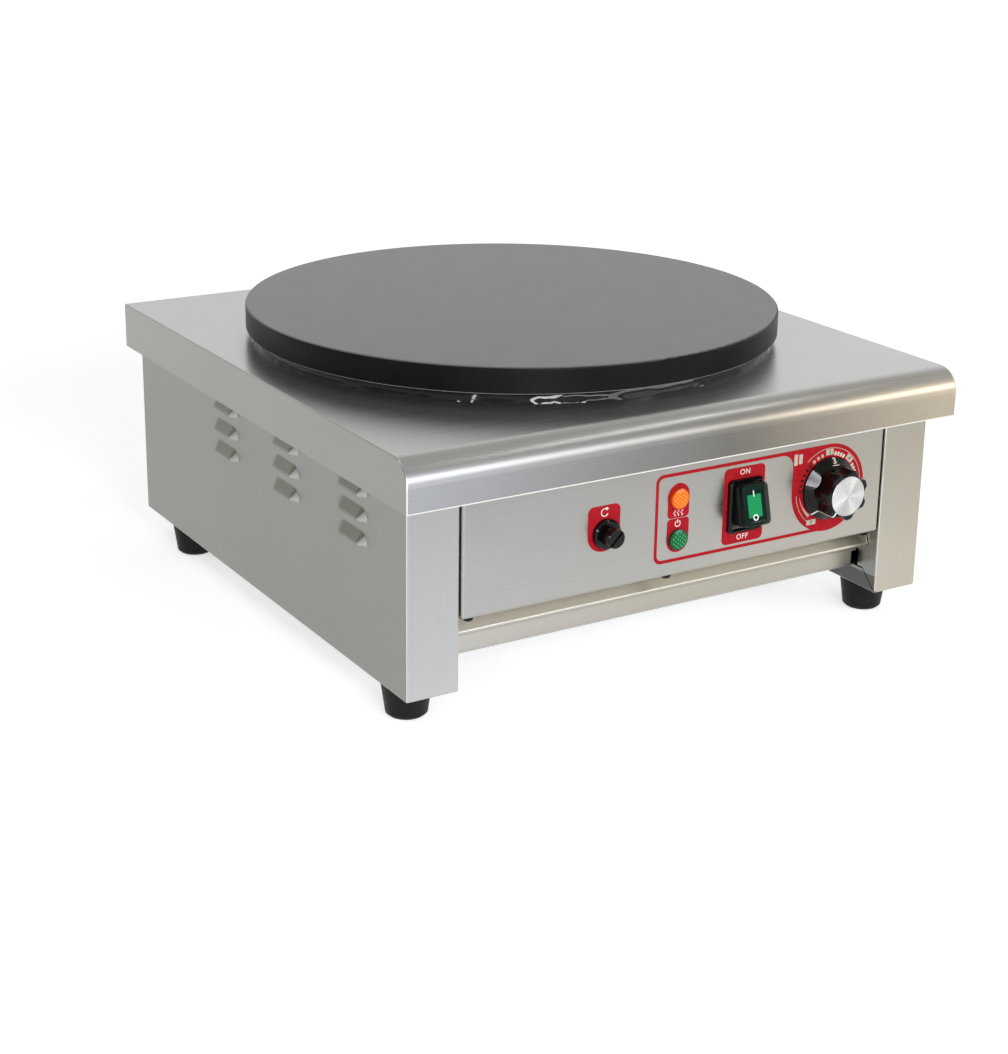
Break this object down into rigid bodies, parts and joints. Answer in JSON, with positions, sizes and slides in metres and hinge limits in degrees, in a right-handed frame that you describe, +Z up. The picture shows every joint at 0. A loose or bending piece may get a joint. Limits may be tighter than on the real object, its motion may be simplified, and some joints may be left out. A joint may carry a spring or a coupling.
{
  "type": "electric crepe maker",
  "caption": "Countertop electric crepe maker: a round cast iron plate on a folded steel housing with louvred sides, a front control panel with knob, rocker, lamps and reset, and rubber feet.",
  "frame": {"origin": "on the table, under the middle of the bounding box", "axes": "+Z up, -Y towards the user and the controls, +X to the user's right"},
  "size_m": [0.45, 0.4808, 0.2192],
  "materials": {
    "brushed_steel": "brushed",
    "zinc_steel": "satin",
    "cast_iron": "ground and seasoned",
    "seal": "gloss",
    "bolt_steel": "satin",
    "dark_screw": "satin",
    "element_sheath": "satin",
    "insulation": "matte",
    "control_housing": "matte",
    "terminal_brass": "satin",
    "black_plastic": "gloss",
    "knob_aluminium": "spun",
    "green_rocker": "gloss",
    "amber_lens": "gloss",
    "green_lens": "gloss",
    "foot_rubber": "matte",
    "terminal_plastic": "matte"
  },
  "bodies": {
    "housing": {"worktop": "brushed_steel", "left_side_panel": "brushed_steel", "right_side_panel": "brushed_steel", "rear_panel": "brushed_steel", "base_plate": "zinc_steel", "lower_crossbar": "brushed_steel", "control_panel": "brushed_steel", "crepe_plate": "cast_iron", "plate_seal": "seal", "holddown_studs": "bolt_steel", "holddown_clips": "zinc_steel", "holddown_nuts": "bolt_steel", "heating_element": "element_sheath", "element_clamp": "zinc_steel", "insulation_disc": "insulation", "heat_shield": "zinc_steel", "element_studs": "bolt_steel", "element_nuts": "bolt_steel", "thermostat_body": "control_housing", "thermostat_screws": "bolt_steel", "thermostat_sensor": "element_sheath", "reset_bezel": "black_plastic", "reset_nut": "bolt_steel", "safety_cutout": "control_housing", "safety_sensor": "element_sheath", "switch_bezel": "black_plastic", "switch_body": "control_housing", "switch_terminals": "terminal_brass", "heat_lamp_lens": "amber_lens", "power_lamp_lens": "green_lens", "lamp_bodies": "control_housing", "feet": "foot_rubber", "foot_screws": "bolt_steel", "foot_nuts": "bolt_steel", "panel_screws": "dark_screw", "base_screws": "bolt_steel", "rear_screws": "bolt_steel", "gland_body": "black_plastic", "gland_nut": "black_plastic", "gland_locknut": "black_plastic", "terminal_block": "terminal_plastic"},
    "knob_assembly": {"knob": "black_plastic", "knob_cap": "knob_aluminium", "thermostat_shaft": "element_sheath"},
    "rocker": {"switch_rocker": "green_rocker"},
    "reset": {"reset_button": "black_plastic"}
  },
  "joints": [
    {"name": "knob_turn", "type": "hinge", "parent": "housing", "child": "knob_assembly", "pos_m": [0.125, -0.2176, 0.1152], "axis": [0, 1, 0], "range_deg": [0, 270]},
    {"name": "rocker_tilt", "type": "hinge", "parent": "housing", "child": "rocker", "pos_m": [0.05, -0.2156, 0.1152], "axis": [1, 0, 0], "range_deg": [0, 28]},
    {"name": "reset_press", "type": "slide", "parent": "housing", "child": "reset", "axis": [0, 1, 0], "range_m": [0, 0.003], "stiffness_N_per_m": 500, "springref_m": -0.004}
  ]
}
